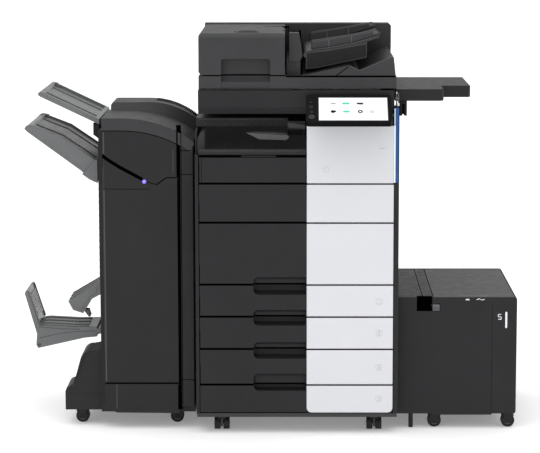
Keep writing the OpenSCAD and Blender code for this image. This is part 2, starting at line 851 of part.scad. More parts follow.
module finisher_wheels_right() {
    side_wheels(fin_wheel_x[1], fin_wheel_y);
}

// ---- paper cabinet ----
module cabinet_housing() {
    color("#35363a") place() {
        difference() {
            union() {
                along_y([cab_y[0], cab_y[1]], concat([[cab_x0, cab_z0 + 4], [725, cab_z0 + 4],
                    [728, cab_z0], [907, cab_z0], [910, cab_z0 + 4], [cab_x1 - 4, cab_z0 + 4],
                    [cab_x1, cab_z0 + 10]], arc([cab_x1 - 8, cab_z1 - 8], 8, 0, 90, 5),
                    [[cab_x0 + 2, cab_z1], [cab_x0, cab_z1 - 2]]));
            }
            span([cab_lid_x0 - 2, 981], [cab_y[0] + 4, 577], [396, cab_z1 + 1]);
            span([950, 981], [cab_y[0] + 4, 577], [390, cab_z1 + 1]);
            span([760, 946], [92, 560], [84, 397]);
            span([906, 908], [cab_y[0] - 1, cab_y[0] + 2], [cab_z0 + 8, 392]);
            span([675, 723], [cab_y[0] - 1, cab_y[0] + 24], [370, cab_z1 + 1]);
            span([722, 747], [cab_y[0] - 1, cab_y[0] + 24], [370, 394]);
        }
        for (y = [[cab_y[0] + 2, 84], [560, 579]])
            rod_y(y, cab_hinge, pin_r);
        rod_x([718, 752], lever_hinge, 2);
        for (x = cab_wheel_x, y = cab_wheel_y)
            cheek_fork(x, y, cab_z0 + 6);
        rod_z([0, cab_z0 + 6], [660, 90], 7);
    }
}

module cabinet_lid() {
    color("#606165") place() difference() {
        span([cab_lid_x0, 976], [cab_y[0] + 6, 575], [398, cab_z1]);
        span([cab_lid_x0 + 14, 955], [cab_y[0] + 20, 560], [397, 408]);
        for (y = [[cab_y[0] + 5, 86], [558, 576]])
            rod_y(y, cab_hinge, pin_r + fit);
    }
}

module cabinet_lever() {
    color("#7d7f83") place() difference() {
        union() {
            along_x([724, 745], [[cab_y[0] - 3, 371.5], [cab_y[0] + 1, 371.5],
                [lever_hinge[0] - 1, 383], [lever_hinge[0] + 2, 391], [lever_hinge[0] - 3, 391],
                [cab_y[0] - 3, 387]]);
            rod_x([724, 745], lever_hinge, 5);
        }
        rod_x([723, 746], lever_hinge, 2 + fit);
    }
}

module cabinet_wheels_left() {
    side_wheels(cab_wheel_x[0], cab_wheel_y);
}

module cabinet_wheels_right() {
    side_wheels(cab_wheel_x[1], cab_wheel_y);
}

chassis_frame();
left_cover();
right_cover();
rear_cover();
output_tray();
exit_housing();
relay_unit();
upper_front_cover();
white_upper_cover();
side_light();
scanner_housing();
platen_glass();
work_table();
card_reader();
toner_bottles();
imaging_units();
levelling_feet();
scan_carriage();
control_panel();
touch_screen();
home_key();
adf_base();
platen_pad();
adf_feed_cover();
adf_input_tray();
adf_guide_front();
adf_guide_rear();
toner_door();
toner_door_white();
front_door();
front_door_white();
right_door();
bypass_tray();
tray_1();
tray_1_white();
tray_2();
tray_2_white();
tray_3();
tray_3_white();
tray_4();
tray_4_white();
caster_fork_left();
caster_fork_right();
caster_wheels_left();
caster_wheels_right();
rear_wheels();
finisher_housing();
finisher_top_cover();
finisher_upper_front();
finisher_front_door();
finisher_upper_tray();
finisher_main_tray();
booklet_tray();
finisher_wheels_left();
finisher_wheels_right();
cabinet_housing();
cabinet_lid();
cabinet_lever();
cabinet_wheels_left();
cabinet_wheels_right();
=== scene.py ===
"""Office copier with a finisher and a paper cabinet at its sides, dressed around its CAD frame."""
import json
import math

import bmesh
import bpy
from mathutils import Matrix, Vector


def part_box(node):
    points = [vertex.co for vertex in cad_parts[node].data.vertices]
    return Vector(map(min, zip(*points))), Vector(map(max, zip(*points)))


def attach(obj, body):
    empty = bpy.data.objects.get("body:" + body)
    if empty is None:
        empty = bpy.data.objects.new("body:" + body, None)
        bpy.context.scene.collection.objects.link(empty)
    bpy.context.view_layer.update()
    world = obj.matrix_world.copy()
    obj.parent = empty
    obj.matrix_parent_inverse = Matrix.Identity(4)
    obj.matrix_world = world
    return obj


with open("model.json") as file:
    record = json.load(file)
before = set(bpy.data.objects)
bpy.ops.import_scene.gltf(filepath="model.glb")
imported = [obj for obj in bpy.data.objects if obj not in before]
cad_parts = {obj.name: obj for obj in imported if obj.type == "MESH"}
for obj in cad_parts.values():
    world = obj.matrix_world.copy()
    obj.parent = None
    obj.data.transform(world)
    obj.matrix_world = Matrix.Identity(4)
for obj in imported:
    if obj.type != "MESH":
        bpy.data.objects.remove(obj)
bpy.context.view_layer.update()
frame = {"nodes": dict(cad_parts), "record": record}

# The outlines below are in millimetres from the main unit's left front lower corner, as in the
# CAD model.
CORNER = Vector((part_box("left_cover")[0].x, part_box("left_cover")[0].y, 0.0))
MM = 0.001


def at(x, y, z):
    """A place in millimetres from the main unit's corner, as a place in metres in the CAD frame."""
    return Vector((CORNER.x + x * MM, CORNER.y + y * MM, z * MM))


# ---- materials -----------------------------------------------------------------------------------

NOISE_SPAN = (0.3, 0.7)  # where most of a noise texture's values lie
MOTTLE_SCALE = 7.0
GLOSS_SCALE = 38.0
GLOSS_SWING = 0.05  # how far the roughness strays to either side
GRAIN_HEIGHT = 0.0003  # metres
STREAK_STRETCH = (3.0, 16.0, 9.0)  # low along X, so that the streaks run that way


def link(tree, a, b):
    tree.links.new(a, b)


def noise(tree, coords, scale, detail):
    n = tree.nodes.new("ShaderNodeTexNoise")
    n.inputs["Scale"].default_value = scale
    n.inputs["Detail"].default_value = detail
    link(tree, coords, n.inputs["Vector"])
    return n.outputs["Fac"]


def ramp(tree, fac, stops):
    r = tree.nodes.new("ShaderNodeValToRGB")
    points = r.color_ramp.elements
    while len(points) < len(stops):
        points.new(0.5)
    for point, (place, colour) in zip(points, stops):
        point.position = place
        point.color = (*colour, 1.0)
    link(tree, fac, r.inputs["Fac"])
    return r.outputs["Color"]


def remap(tree, fac, low, high):
    m = tree.nodes.new("ShaderNodeMapRange")
    m.inputs["From Min"].default_value, m.inputs["From Max"].default_value = NOISE_SPAN
    m.inputs["To Min"].default_value = low
    m.inputs["To Max"].default_value = high
    link(tree, fac, m.inputs["Value"])
    return m.outputs["Result"]


def tinted(colour, k):
    return tuple(max(0.0, min(1.0, c * k)) for c in colour)


def plastic(name, colour, rough, grain=1100.0, depth=0.25, mottle=0.10, spec=0.5, glow=None,
            metal=0.0):
    """Moulded plastic: fine grain in the bump, slow mottling in the colour, uneven gloss."""
    mat = bpy.data.materials.new(name)
    mat.use_nodes = True
    tree = mat.node_tree
    shader = tree.nodes["Principled BSDF"]
    coords = tree.nodes.new("ShaderNodeTexCoord").outputs["Object"]
    broad = noise(tree, coords, MOTTLE_SCALE, 4.0)
    fine = noise(tree, coords, grain, 2.0)
    shades = list(zip(NOISE_SPAN, (tinted(colour, 1 - mottle), tinted(colour, 1 + mottle))))
    link(tree, ramp(tree, broad, shades), shader.inputs["Base Color"])
    gloss = noise(tree, coords, GLOSS_SCALE, 5.0)
    link(tree, remap(tree, gloss, rough - GLOSS_SWING, rough + GLOSS_SWING),
         shader.inputs["Roughness"])
    bump = tree.nodes.new("ShaderNodeBump")
    bump.inputs["Strength"].default_value = depth
    bump.inputs["Distance"].default_value = GRAIN_HEIGHT
    link(tree, fine, bump.inputs["Height"])
    link(tree, bump.outputs["Normal"], shader.inputs["Normal"])
    shader.inputs["Specular IOR Level"].default_value = spec
    shader.inputs["Metallic"].default_value = metal
    if glow:
        shader.inputs["Emission Color"].default_value = (*glow[0], 1.0)
        shader.inputs["Emission Strength"].default_value = glow[1]
    return mat


def streaked(name, colour, rough):
    """Smoke-grey moulding with the long flow streaks of a thin translucent sheet."""
    mat = plastic(name, colour, rough, depth=0.08, mottle=0.1, spec=0.45)
    tree = mat.node_tree
    shader = tree.nodes["Principled BSDF"]
    coords = tree.nodes.new("ShaderNodeTexCoord").outputs["Object"]
    stretch = tree.nodes.new("ShaderNodeMapping")
    stretch.inputs["Scale"].default_value = STREAK_STRETCH
    link(tree, coords, stretch.inputs["Vector"])
    streaks = noise(tree, stretch.outputs["Vector"], 1.0, 4.0)
    shades = [(0.34, tinted(colour, 0.88)), (0.5, colour), (0.66, tinted(colour, 1.18))]
    link(tree, ramp(tree, streaks, shades), shader.inputs["Base Color"])
    return mat


MAT = {
    "dark_cover": plastic("dark_moulding", (0.0112, 0.0113, 0.0128), 0.46, spec=0.28),
    "feeder_cover": plastic("feeder_moulding", (0.033, 0.0335, 0.0355), 0.48, spec=0.3),
    "inner_black": plastic("black_moulding", (0.008, 0.008, 0.009), 0.55, spec=0.22),
    "white_cover": plastic("white_moulding", (0.665, 0.67, 0.70), 0.42, depth=0.12, mottle=0.012,
                           spec=0.35),
    "frame_metal": plastic("frame_paint", (0.03, 0.03, 0.032), 0.4, grain=500.0, spec=0.4),
    "toner_grey": plastic("bottle_moulding", (0.10, 0.10, 0.105), 0.4),
    "pad_white": plastic("backing_sheet", (0.8, 0.8, 0.78), 0.6, mottle=0.02),
    "panel_black": plastic("panel_gloss", (0.0025, 0.0025, 0.003), 0.45, depth=0.03, spec=0.06),
    "key_grey": plastic("key_moulding", (0.4, 0.42, 0.44), 0.35, mottle=0.03),
    "wheel_rubber": plastic("tyre_rubber", (0.010, 0.010, 0.011), 0.6, grain=700.0, spec=0.3),
    "lever_grey": plastic("lever_moulding", (0.16, 0.165, 0.17), 0.4),
    "blue_light": plastic("blue_lens", (0.018, 0.062, 0.18), 0.25, depth=0.02, mottle=0.25,
                          spec=0.2, glow=((0.04, 0.12, 0.34), 0.25)),
    "screen_face": plastic("screen_face", (0.25, 0.26, 0.27), 0.3, depth=0.0, mottle=0.02, spec=0.1,
                           glow=((0.92, 0.96, 1.0), 0.85)),
    "platen_glass": plastic("platen_glass", (0.10, 0.13, 0.14), 0.05, depth=0.0, mottle=0.05,
                            spec=0.7),
    "smoke_tray": streaked("smoke_plastic", (0.125, 0.13, 0.132), 0.3),
}
TINT = {
    # Near-black with no sheen: painted shade in seams, grooves, slots and recesses, and under parts
    "painted_shade_black": plastic("painted_shade_black", (0.0006, 0.0006, 0.0007), 0.9, spec=0.0),
    "mark_grey": plastic("mark_grey", (0.42, 0.43, 0.45), 0.5, depth=0.05, mottle=0.05, spec=0.2),
    "mark_white": plastic("mark_white", (0.82, 0.83, 0.85), 0.5, depth=0.05, mottle=0.03, spec=0.2),
    "icon_black": plastic("icon_black", (0.01, 0.01, 0.012), 0.5, depth=0.02, mottle=0.2, spec=0.1),
    "icon_green": plastic("icon_green", (0.06, 0.42, 0.27), 0.5, depth=0.02, mottle=0.2, spec=0.1,
                          glow=((0.1, 0.6, 0.4), 0.35)),
    "icon_grey": plastic("icon_grey", (0.30, 0.31, 0.33), 0.5, depth=0.02, mottle=0.2, spec=0.1,
                         glow=((0.6, 0.62, 0.65), 0.25)),
    "icon_pink": plastic("icon_pink", (0.7, 0.3, 0.45), 0.5, depth=0.02, mottle=0.1, spec=0.1,
                         glow=((0.9, 0.55, 0.68), 0.5)),
    "lamp_violet": plastic("lamp_violet", (0.15, 0.10, 0.8), 0.2, depth=0.0, mottle=0.1,
                           glow=((0.30, 0.20, 1.0), 1.1)),
    "pale_glow": plastic("pale_glow", (0.5, 0.6, 0.75), 0.4, depth=0.0, mottle=0.05,
                         glow=((0.75, 0.85, 1.0), 0.5)),
    "steel": plastic("spindle_steel", (0.42, 0.42, 0.43), 0.3, grain=300.0, depth=0.1, metal=1.0),
    "roller_grey": plastic("roller_rubber", (0.09, 0.09, 0.095), 0.7, grain=500.0, spec=0.2),
    "relay_grey": plastic("relay_grey", (0.10, 0.10, 0.105), 0.45, spec=0.3),
    "handle_green": plastic("handle_green", (0.05, 0.24, 0.16), 0.42, mottle=0.06),
    "toner_cyan": plastic("toner_cyan", (0.02, 0.28, 0.5), 0.4, mottle=0.05),
    "toner_magenta": plastic("toner_magenta", (0.5, 0.03, 0.2), 0.4, mottle=0.05),
    "toner_yellow": plastic("toner_yellow", (0.75, 0.55, 0.03), 0.4, mottle=0.05),
    "smoke_dark": streaked("smoke_dark", (0.045, 0.047, 0.048), 0.3),
    "smoke_mid": streaked("smoke_mid", (0.09, 0.093, 0.095), 0.3),
    # The faint white glow is painted light, lifting the output cavity's tray and ribs out of shade
    "cavity_grey_painted_glow": plastic("cavity_moulding_painted_glow", (0.026, 0.0265, 0.028), 0.6, spec=0.2,
                           glow=((1.0, 1.0, 1.0), 0.010)),
    # A lighter grey as painted light: the cabinet lid's top, and highlights on the finisher's left
    # edges
    "painted_light_grey": plastic("painted_light_moulding", (0.062, 0.0625, 0.065), 0.48, spec=0.3),
    "key_dark": plastic("key_dark", (0.035, 0.035, 0.037), 0.45, depth=0.05, spec=0.2),
    # A lighter grey for trims, screws and marks, and for painted highlights along some edges
    "trim_and_highlight_grey": plastic("trim_and_highlight_grey", (0.085, 0.087, 0.09), 0.42, spec=0.35),
}

# ---- CAD nodes: softened edges and a finish for each slot ----------------------------------------


WELD_GAP = 1e-5  # metres
FLAT_ANGLE = 0.6  # degrees between triangles that count as one face
BEVEL_ANGLE = 32.0  # degrees from which an edge is rounded


def round_edges(obj, width, segments):
    """Bevels the sharp edges by a width in millimetres and evens the shading."""
    for face in obj.data.polygons:
        face.use_smooth = True
    bevel = obj.modifiers.new("bevel", "BEVEL")
    bevel.width = width * MM
    bevel.segments = segments
    bevel.limit_method = "ANGLE"
    bevel.angle_limit = math.radians(BEVEL_ANGLE)
    bevel.harden_normals = True
    obj.modifiers.new("even", "WEIGHTED_NORMAL").keep_sharp = True


def soften(obj, width):
    """Rounded edges for a CAD node, whose triangles are first joined into whole faces."""
    obj.modifiers.new("weld", "WELD").merge_threshold = WELD_GAP
    flat = obj.modifiers.new("flat", "DECIMATE")
    flat.decimate_type = "DISSOLVE"
    flat.angle_limit = math.radians(FLAT_ANGLE)
    round_edges(obj, width, 3)


SLOTS = {row["node"]: row["material_slot"] for row in frame["record"]["subparts"]}
# Edge widths in millimetres by material slot, and the nodes with a finish other than their slot's
PLAIN_EDGE = 0.8
EDGE = {"white_cover": 3.0, "dark_cover": 2.6, "feeder_cover": 3.0, "smoke_tray": 1.5}
# cabinet_lid is painted lighter on its top as painted light; output_tray has the cavity's painted
# glow
FINISH = {"output_tray": "cavity_grey_painted_glow", "relay_unit": "key_dark", "cabinet_lid": "painted_light_grey",
          "home_key": "key_dark"}
for node, obj in frame["nodes"].items():
    obj.data.materials.clear()
    obj.data.materials.append(TINT[FINISH[node]] if node in FINISH else MAT[SLOTS[node]])
    soften(obj, EDGE.get(SLOTS[node], PLAIN_EDGE))

# ---- new pieces: shapes in millimetres from the main unit's corner -------------------------------

ALONG = {"x": (1, 2, 0), "y": (0, 2, 1), "z": (0, 1, 2)}


def circle(u, v, r, sides=24, start=0.0, end=360.0):
    """Points of an arc; a full circle doesn't repeat its first point."""
    steps = sides if end - start >= 360 else sides + 1
    angles = [math.radians(start + (end - start) * i / sides) for i in range(steps)]
    return [(u + r * math.cos(a), v + r * math.sin(a)) for a in angles]


def rounded(u, v, r, sides=5):
    """A rectangle from u[0], v[0] to u[1], v[1] with round corners."""
    return (circle(u[1] - r, v[1] - r, r, sides, 0, 90)
            + circle(u[0] + r, v[1] - r, r, sides, 90, 180)
            + circle(u[0] + r, v[0] + r, r, sides, 180, 270)
            + circle(u[1] - r, v[0] + r, r, sides, 270, 359.9))


def closed(outline):
    """The outline with its first point once more at the end, for a stroke around it."""
    return outline + outline[:1]


def arch(u, v, r_out, r_in, start, end):
    """The outline of an arched cover between two radii."""
    return circle(u, v, r_out, 14, start, end) + circle(u, v, r_in, 14, start, end)[::-1]


class Shape:
    """Gathers solids into one mesh."""

    def __init__(self):
        self.bm = bmesh.new()

    def loop(self, axis, depth, outline):
        """The outline's points as new vertices, in a plane across the axis."""
        order = ALONG[axis]
        verts = []
        for u, v in outline:
            place = [0.0, 0.0, 0.0]
            place[order[0]], place[order[1]], place[order[2]] = u, v, depth
            verts.append(self.bm.verts.new(place))
        return verts

    def join(self, a, b):
        """A band of faces between two loops of the same length."""
        for i in range(len(a)):
            j = (i + 1) % len(a)
            self.bm.faces.new((a[i], a[j], b[j], b[i]))

    def prism(self, axis, span, outline):
        """The outline, extruded along the axis; its points are the other two coordinates."""
        near, far = (self.loop(axis, depth, outline) for depth in span)
        self.bm.faces.new(near)
        self.bm.faces.new(far)
        self.join(near, far)
        return self

    def box(self, x, y, z):
        return self.prism("z", z, [(x[0], y[0]), (x[1], y[0]), (x[1], y[1]), (x[0], y[1])])

    def rod(self, axis, span, centre, r, sides=24):
        return self.prism(axis, span, circle(centre[0], centre[1], r, sides))

    def line(self, a, b, width, y):
        """A flat stroke in the XZ plane from a to b, between the two depths y."""
        dx, dz = b[0] - a[0], b[1] - a[1]
        k = width / 2 / max(1e-6, math.hypot(dx, dz))
        nx, nz = -dz * k, dx * k
        return self.prism("y", y, [(a[0] + nx, a[1] + nz), (b[0] + nx, b[1] + nz),
                                   (b[0] - nx, b[1] - nz), (a[0] - nx, a[1] - nz)])

    def path(self, points, width, y):
        for a, b in zip(points, points[1:]):
            self.line(a, b, width, y)
        return self

    def ring(self, axis, span, centre, r_out, r_in, sides=32):
        """A tube along the axis."""
        loops = [self.loop(axis, depth, circle(centre[0], centre[1], r, sides)) for depth, r in
                 ((span[0], r_out), (span[1], r_out), (span[1], r_in), (span[0], r_in))]
        for a, b in zip(loops, loops[1:] + loops[:1]):
            self.join(a, b)
        return self


IN_PLACE = Matrix.Translation(CORNER) @ Matrix.Diagonal((MM, MM, MM, 1.0))
# The control panel's own axes: X along the hinge, Y across the panel, Z out of its face
PANEL_TILT = 33.5
PANEL_HINGE = (0, 2, 1020)
ON_PANEL = (IN_PLACE @ Matrix.Translation(PANEL_HINGE)
            @ Matrix.Rotation(math.radians(PANEL_TILT), 4, "X"))


def piece(name, shape, body, slot, finish=None, edge=0.5, place=IN_PLACE):
    """Turns a shape into an object that rides on a body, in a slot's or its own finish."""
    bmesh.ops.transform(shape.bm, matrix=place, verts=shape.bm.verts)
    bmesh.ops.recalc_face_normals(shape.bm, faces=shape.bm.faces)
    mesh = bpy.data.meshes.new(name)
    shape.bm.to_mesh(mesh)
    shape.bm.free()
    obj = bpy.data.objects.new(name, mesh)
    bpy.context.scene.collection.objects.link(obj)
    mesh.materials.append(TINT[finish] if finish else MAT[slot])
    round_edges(obj, edge, 2)
    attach(obj, body)


# ---- painted shade: black strips in the front panels' seams, which make the seams read black -----

# Heights of the seams between the front panels, from below; the panels' two ends in X; where
# their white half starts; and the front face of the white half
SEAMS = [153, 264, 364, 463, 653, 772]
HALF_GAP = 2
PANEL = (12, 599)
WHITE_X = 337
WHITE_FACE = -3
FRONT_BODIES = ["drawer_4", "drawer_3", "drawer_2", "drawer_1", "front_door", "toner_door"]
# The grips' two ends in X, and the heights of their upper and lower edges
GRIP = (175, 337)
GRIP_TOPS = [188, 286, 386, 487]
GRIP_ENDS = [135, 235, 338, 433]

for i, (body, seam) in enumerate(zip(FRONT_BODIES, SEAMS)):
    top = seam - HALF_GAP
    seam_shade = Shape()
    left_end = GRIP[0] if i < 4 else WHITE_X
    seam_shade.box((PANEL[0] + 1, left_end - 1), (1.6, 13), (top, top + 0.5))
    seam_shade.box((WHITE_X + 1, PANEL[1] - 1), (-1.2, 13), (top, top + 0.5))
    for x in (PANEL[0] + 4, PANEL[1] - 10):
        seam_shade.box((x, x + 6), (4, 11), (top + 0.4, top + 0.9))
    piece(f"seal_{body}", seam_shade, body, "inner_black", "painted_shade_black", edge=0.15)

# Painted shade: black lines along the lower edge and left end of each panel above a seam
UPPER_BODIES = FRONT_BODIES[1:] + ["main_unit"]
for i, (body, seam) in enumerate(zip(UPPER_BODIES, SEAMS)):
    bottom = seam + HALF_GAP
    left_end = GRIP[0] if i < 4 else WHITE_X
    seam_shade_line = Shape().box((PANEL[0] + 1, left_end - 1), (-0.3, 1.0), (bottom + 0.2, bottom + 2.4))
    seam_shade_line.box((PANEL[0] + 0.2, PANEL[0] + 1.4), (-0.2, 1.0), (bottom + 2, bottom + 60))
    piece(f"seam_shade_line_{i}", seam_shade_line, body, "inner_black", "painted_shade_black", edge=0.1)

# Lift plate, paper guides and end stop inside each drawer
for body, z0 in zip(FRONT_BODIES[:4], (70, 156, 266, 366)):
    floor_z = z0 + 19.3
    inside = Shape().box((64, 550), (46, 528), (floor_z, floor_z + 1.4))
    for y in (60, 514):
        inside.box((70, 544), (y, y + 3), (floor_z + 1, floor_z + 5))
    inside.box((120, 300), (180, 184), (floor_z + 1, floor_z + 2.6))
    piece(f"lift_plate_{body}", inside, body, "frame_metal", "relay_grey", edge=0.5)
    guides = Shape()
    for y in (110, 440):
        guides.box((180, 330), (y, y + 4), (floor_z + 1.4, floor_z + 34))
        guides.prism("y", (y - 8, y + 12), [(236, floor_z + 1.4), (276, floor_z + 1.4),
                                            (270, floor_z + 8), (242, floor_z + 8)])
        for x in (200, 250, 300):
            guides.box((x, x + 2), (y - 1, y + 5), (floor_z + 6, floor_z + 30))
    guides.box((470, 474), (230, 320), (floor_z + 1.4, floor_z + 30))
    guides.box((466, 484), (262, 288), (floor_z + 1.4, floor_z + 12))
    piece(f"paper_guides_{body}", guides, body, "key_grey", "handle_green", edge=0.8)

# Soft scoops in the two halves of each grip: the upper half belongs to the panel above the seam.
GRIP_BACK = 23.8
for i, (lower, upper) in enumerate(zip(FRONT_BODIES[:4], FRONT_BODIES[1:])):
    seam, top, end = SEAMS[i], GRIP_TOPS[i], GRIP_ENDS[i]
    x = (GRIP[0] + 5, GRIP[1] - 3)
    curve = [(2.5 + 14 * math.sin(a), seam + HALF_GAP + 2 + (top - seam - 5) * math.cos(a))
             for a in map(math.radians, range(10, 91, 10))]
    scoop = Shape().prism("x", x, [(GRIP_BACK, seam + HALF_GAP), (GRIP_BACK, top), (2.5, top),
                                   *curve])
    scoop.box((x[0] + 2, x[1] - 2), (1.0, 4.0), (top - 1.2, top - 0.4))
    piece(f"grip_upper_{i}", scoop, upper, "dark_cover", edge=0.4)
    # The lower half and the block at its back are near-black: painted shade in the pocket
    curve = [(23.0 - 18 * math.cos(a), end + 1 + (seam - end - 4) * (1 - math.cos(a)) * 0.35)
             for a in map(math.radians, range(0, 91, 15))]
    pocket = Shape().prism("x", x, [(GRIP_BACK, seam - HALF_GAP), (GRIP_BACK, end), (3.0, end),
                                    *curve])
    pocket.box((x[0] + 3, x[1] - 3), (20.5, 23.5), (seam - 8, seam - 3))
    piece(f"grip_pocket_shade_{i}", pocket, lower, "inner_black", edge=0.4)

# ---- numerals and small marks --------------------------------------------------------------------

SEGMENTS = {"a": ((0, 1), (1, 1)), "b": ((1, 1), (1, 0.5)), "c": ((1, 0.5), (1, 0)),
            "d": ((0, 0), (1, 0)), "e": ((0, 0), (0, 0.5)), "f": ((0, 0.5), (0, 1)),
            "g": ((0, 0.5), (1, 0.5))}
DIGITS = {1: "bc", 2: "abged", 3: "abgcd", 4: "fgbc", 5: "afgcd"}


def digit(shape, number, x, z, width, height, stroke, y):
    """A digit of straight strokes, centred on x and z, between the two depths y."""
    for key in DIGITS[number]:
        (u0, v0), (u1, v1) = SEGMENTS[key]
        shape.line((x + (u0 - 0.5) * width, z + (v0 - 0.5) * height),
                   (x + (u1 - 0.5) * width, z + (v1 - 0.5) * height), stroke, y)


# Depths of a mark that stands a quarter of a millimetre proud of the white face
MARK = (WHITE_FACE - 0.25, WHITE_FACE + 0.5)
MARK_X = 557
MARK_HEIGHTS = (113, 210, 317, 414)
for number, (body, z) in enumerate(zip(FRONT_BODIES[3::-1], MARK_HEIGHTS[::-1]), start=1):
    mark = Shape()
    mark.path(closed(rounded((MARK_X - 9, MARK_X + 9), (z - 8, z + 7), 2.5)), 0.9, MARK)
    mark.line((MARK_X - 6, z - 11), (MARK_X + 6, z - 11), 1.0, MARK)
    digit(mark, number, MARK_X, z - 0.5, 5, 9, 1.3, MARK)
    piece(f"numeral_{number}", mark, body, "lever_grey", "mark_grey", edge=0.1)

label = Shape()
for i in range(5):
    label.line((555 + 3.6 * i, 880), (557.4 + 3.6 * i, 880), 2.6, MARK)
label.line((576, 884), (579, 884), 1.2, MARK)
label.path(closed(rounded((386, 403), (809, 824), 2)), 0.7, MARK)
label.path([(390, 812), (390, 821), (399, 821)], 0.6, MARK)
piece("white_cover_marks", label, "main_unit", "lever_grey", "mark_grey", edge=0.1)

# ---- control panel -------------------------------------------------------------------------------

# Heights above the panel's hinge plane, and the two rows of icons
SCREEN_TOP = 21.8
BEZEL_TOP = 22.0
ROWS = (-35, -73)


def on_screen(name, finish, parts):
    """Thin icons of one colour on the screen: kind, place and half width of each."""
    shape = Shape()
    span = (SCREEN_TOP - 0.1, SCREEN_TOP + 0.15)
    for kind, x, y, size in parts:
        if kind == "disc":
            shape.rod("z", span, (x, y), size, 20)
        elif kind == "ring":
            shape.ring("z", span, (x, y), size, size * 0.45, 20)
        elif kind == "pill":
            shape.prism("z", span, rounded((x - size, x + size), (y - size * 0.4, y + size * 0.4),
                                           size * 0.38))
        else:
            shape.box((x - size, x + size), (y - 0.7, y + 0.7), span)
    piece(name, shape, "panel", "screen_face", finish, edge=0.05, place=ON_PANEL)


on_screen("icons_black", "icon_black", [("pill", 495, ROWS[0], 10), ("disc", 414, ROWS[1], 6.5),
                                        ("disc", 419, ROWS[1] + 1, 4.5),
                                        ("ring", 495, ROWS[1], 7.5), ("bar", 499, ROWS[0] - 7, 5)])
on_screen("icons_green", "icon_green", [("pill", 453, ROWS[0], 11), ("pill", 454, ROWS[1], 10),
                                        ("bar", 454, ROWS[1] - 8, 4)])
on_screen("icons_grey", "icon_grey", [("pill", 415, ROWS[0], 8), ("ring", 530, ROWS[1], 6),
                                      ("bar", 538, ROWS[1] - 7, 7), ("bar", 415, ROWS[0] - 9, 9),
                                      ("bar", 414, ROWS[1] - 12, 6), ("bar", 495, ROWS[1] - 12, 6)])
on_screen("icons_pink", "icon_pink", [("bar", 452, ROWS[0] - 10, 4),
                                      ("disc", 447, ROWS[0] - 10, 1.2)])

bezel = Shape()
for x, y in (((371, 577.5), (-8, -6.5)), ((371, 577.5), (-115.5, -114)),
             ((371, 372.6), (-115, -7)), ((576, 577.5), (-115, -7))):
    bezel.box(x, y, (SCREEN_TOP - 0.3, BEZEL_TOP + 0.2))
bezel.ring("z", (BEZEL_TOP - 0.3, BEZEL_TOP + 0.3), (351, -98), 8.6, 7.2)
bezel.ring("z", (BEZEL_TOP - 0.3, BEZEL_TOP + 0.15), (349, -51), 5.2, 4.4)
bezel.ring("z", (BEZEL_TOP - 0.3, BEZEL_TOP + 0.15), (351, -74), 4.2, 3.5)
bezel.box((346, 352), (-30, -28.5), (BEZEL_TOP - 0.3, BEZEL_TOP + 0.15))
piece("bezel_trim", bezel, "panel", "panel_black", "trim_and_highlight_grey", edge=0.15, place=ON_PANEL)
key_mark = Shape().ring("z", (BEZEL_TOP + 0.9, BEZEL_TOP + 1.35), (351, -98), 3.2, 2.3, 20)
key_mark.box((350.4, 351.6), (-96, -93.5), (BEZEL_TOP + 1.0, BEZEL_TOP + 1.35))
piece("home_key_mark", key_mark, "home_key", "key_grey", "icon_black", edge=0.05, place=ON_PANEL)
under = Shape().prism("x", (372, 556), [(-104, 6.2), (-96, 3.4), (-30, 3.4), (-22, 6.2)])
for x in (384, 534):
    under.rod("z", (2.6, 3.6), (x, -60), 4)
piece("panel_underside", under, "panel", "panel_black", edge=0.6, place=ON_PANEL)

# ---- side light and the small linkage beside the panel -------------------------------------------

glow = Shape().box((599.3, 603.4), (-2.9, -0.4), (776, 950))
glow.box((600.0, 602.4), (-2.7, 1.0), (952, 1000))
piece("light_edge", glow, "main_unit", "blue_light", "pale_glow", edge=0.3)
linkage = Shape().rod("z", (1006, 1052), (606, 6), 2.2, 16)
linkage.rod("z", (1012, 1046), (611.5, 4), 1.6, 16)
linkage.box((602.5, 613.5), (0, 9), (1028, 1033))
linkage.box((603, 613), (0, 9), (1009, 1013))
piece("side_linkage", linkage, "main_unit", "frame_metal", "relay_grey", edge=0.4)
latch = Shape().box((608.5, 614), (-2, 3), (1008, 1016)).rod("y", (-2.6, -1), (611, 1012), 2.6, 16)
latch.rod("y", (-2.2, -0.5), (606, 1047), 1.8, 16)
piece("side_latch", latch, "main_unit", "key_grey", "mark_white", edge=0.4)

# ---- output cavity -------------------------------------------------------------------------------

guide_sheet = Shape().prism("y", (60, 128), [(152, 921), (193, 900), (275, 898), (285, 907),
                                             (280, 913), (230, 916)])
for y in (70, 88, 106):
    guide_sheet.prism("y", (y, y + 3), [(158, 921), (196, 903), (272, 901), (280, 908), (276, 916),
                                        (232, 919)])
piece("exit_guide", guide_sheet, "main_unit", "inner_black", "relay_grey", edge=1.0)
rollers = Shape().rod("y", (126, 414), (329, 914), 2.4, 16)
for y in (150, 205, 260, 315, 370):
    rollers.rod("y", (y, y + 24), (329, 914), 6.5, 20)
    rollers.rod("y", (y + 6, y + 18), (329, 926.5), 4.5, 16)
piece("exit_rollers", rollers, "main_unit", "inner_black", "roller_grey", edge=0.5)
relay_trim = Shape()
for x in range(20, 262, 22):
    relay_trim.box((x, x + 12), (148.6, 150.4), (936, 937.5))
relay_trim.box((8, 268), (148.8, 150.2), (952, 954))
relay_trim.prism("y", (116, 150), [(279, 930), (333, 926), (333, 938), (300, 944), (279, 946)])
piece("relay_trim", relay_trim, "main_unit", "inner_black", "relay_grey", edge=0.5)
lip = Shape().prism("x", (14, 333), [(-0.4, 861), (-0.4, 866), (2, 871), (7, 874.5), (12, 874.5),
                                     (12, 861)])
for x in (60, 250):
    lip.prism("x", (x, x + 30), [(8, 873), (12, 875.2), (26, 873.8), (26, 872)])
